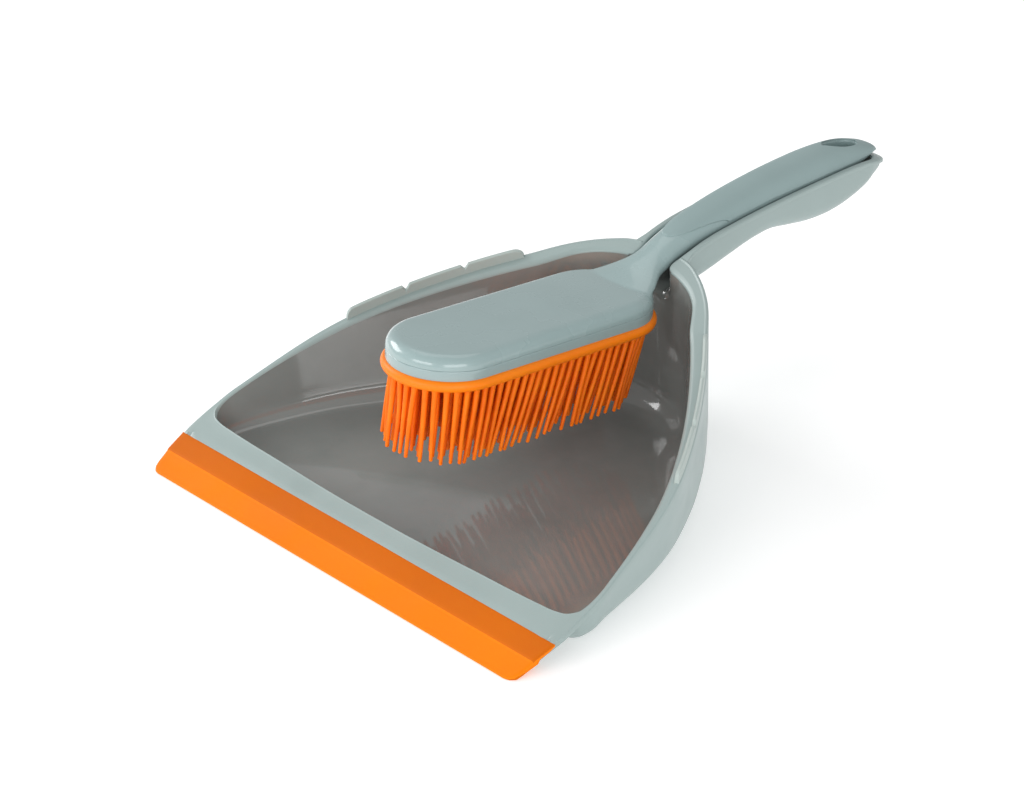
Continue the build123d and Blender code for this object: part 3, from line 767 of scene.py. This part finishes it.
# ------------------------------------------------------------------ filaments
def filaments():
    sides, steps = 10, 11
    verts, faces = [], []
    for inset, gap in ((3.0, 4.4), (7.4, 4.6), (11.8, 4.7), (16.2, 4.8), (20.6, 5.0)):
        w = 25.0 - inset
        total = 4 * HALF + 2 * math.pi * w
        count = int(round(total / gap))
        for k in range(count):
            s = (k + 0.5 * (int(inset) % 2)) / count * total + rng.uniform(-0.25, 0.25)
            s %= total
            if s < 2 * HALF:
                x, a, nx, na = w, MID - HALF + s, 1.0, 0.0
            elif s < 2 * HALF + math.pi * w:
                t = (s - 2 * HALF) / w
                x, a, nx, na = w * math.cos(t), MID + HALF + w * math.sin(t), math.cos(t), math.sin(t)
            elif s < 4 * HALF + math.pi * w:
                x, a, nx, na = -w, MID + HALF - (s - 2 * HALF - math.pi * w), -1.0, 0.0
            else:
                t = math.pi + (s - 4 * HALF - math.pi * w) / w
                x, a, nx, na = w * math.cos(t), MID - HALF + w * math.sin(t), math.cos(t), math.sin(t)
            outer = 1.0 if inset < 4 else 0.45
            front = max(0.0, (-a - 25.0) / 45.0)
            fan = outer * (0.7 + 1.3 * front) + rng.normal(0, 0.35)
            dx = nx * fan + rng.normal(0, 0.55)
            rear = float(smooth_step((a + 62.0) / 55.0))
            lean = 1.5 + 9.0 * rear
            da = na * fan * 0.8 + rng.normal(0, 0.7)
            bx, ba = rng.normal(0, 0.28), rng.normal(0, 0.38)
            length = 31.6 + rng.uniform(-1.4, 0.5)
            r0, r1 = 1.26 + rng.uniform(-0.04, 0.04), 0.80 + rng.uniform(-0.05, 0.05)
            base = len(verts)
            for j in range(steps):
                t = j / (steps - 1)
                cx = x + dx * t**1.7 + bx * math.sin(math.pi * t)
                ca = a + da * t**1.7 - lean * t**1.12 + ba * math.sin(math.pi * t)
                n = -4.4 - (length + 0.6) * t
                r = r0 + (r1 - r0) * t + 0.35 * math.exp(-((t * length) / 0.9) ** 2)
                for q in range(sides):
                    an = 2 * math.pi * q / sides
                    verts.append(head(cx + r * math.cos(an), ca + r * math.sin(an), n))
            cx, ca, n = x + dx, a + da - lean, -4.4 - (length + 0.6)
            for f, dn in ((0.86, 0.28), (0.5, 0.52)):
                for q in range(sides):
                    an = 2 * math.pi * q / sides
                    verts.append(head(cx + r1 * f * math.cos(an), ca + r1 * f * math.sin(an), n - dn))
            rings = steps + 2
            for j in range(rings - 1):
                for q in range(sides):
                    q2 = (q + 1) % sides
                    faces.append((base + j * sides + q, base + j * sides + q2, base + (j + 1) * sides + q2, base + (j + 1) * sides + q))
            faces.append([base + q for q in range(sides)][::-1])
            faces.append([base + (rings - 1) * sides + q for q in range(sides)])
    print("FILAMENT verts", len(verts))
    return make("filament_field", verts, faces, [hair_mat], None, 60)


hair = filaments()
closed_and_volume(hair)
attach(hair, "brush")
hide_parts("bristles")

# ------------------------------------------------------------------ stage, light, camera
gv, gf = [], []
gx = np.linspace(-4, 4, 17)
for i, x in enumerate(gx):
    for j, y in enumerate(gx):
        gv.append((x, y, -0.0003))
for i in range(16):
    for j in range(16):
        gf.append((i * 17 + j, (i + 1) * 17 + j, (i + 1) * 17 + j + 1, i * 17 + j + 1))
me = bpy.data.meshes.new("floor")
me.from_pydata(gv, [], gf)
me.materials.append(floor_mat)
ground = bpy.data.objects.new("floor", me)
bpy.context.scene.collection.objects.link(ground)

world = bpy.data.worlds.new("soft_white")
bpy.context.scene.world = world
world.use_nodes = True
bg = world.node_tree.nodes["Background"]
bg.inputs["Color"].default_value = (1.0, 1.0, 1.0, 1)
bg.inputs["Strength"].default_value = 0.50


def lamp(name, loc, target, size, power):
    d = bpy.data.lights.new(name, "AREA")
    d.shape, d.size, d.size_y, d.energy = "RECTANGLE", size[0], size[1], power
    o = bpy.data.objects.new(name, d)
    o.location = loc
    o.rotation_mode = "QUATERNION"
    o.rotation_quaternion = (Vector(target) - Vector(loc)).to_track_quat("-Z", "Y")
    bpy.context.scene.collection.objects.link(o)
    return o


lamp("key", (1.5, -0.75, 0.55), (0, 0, 0.04), (1.3, 0.7), 10.0)
lamp("top", (-0.5, 0.5, 1.7), (0, 0, 0.03), (1.4, 1.2), 4.5)
lamp("front", (0.1, -1.7, 0.7), (0, 0, 0.03), (1.2, 0.6), 10.0)
lamp("left", (-1.5, -0.5, 0.75), (0, 0, 0.03), (1.1, 0.6), 13.0)

cam_data = bpy.data.cameras.new("camera")
cam = bpy.data.objects.new("camera", cam_data)
bpy.context.scene.collection.objects.link(cam)
cam_data.sensor_fit = "HORIZONTAL"
cam_data.sensor_width = 36.0
cam_data.lens = 105.105
cam_data.clip_start, cam_data.clip_end = 0.05, 60.0
right, up, back = (0.6739834, 0.7382860, -0.0260817), (-0.3365839, 0.3383134, 0.8787806), (0.6576152, -0.5835048, 0.4765128)
rot = Matrix((right, up, back)).transposed().to_4x4()
cam.matrix_world = Matrix.Translation((0.820248, -0.786517, 0.633143)) @ rot
bpy.context.scene.camera = cam
bpy.context.scene.view_settings.view_transform = "Standard"
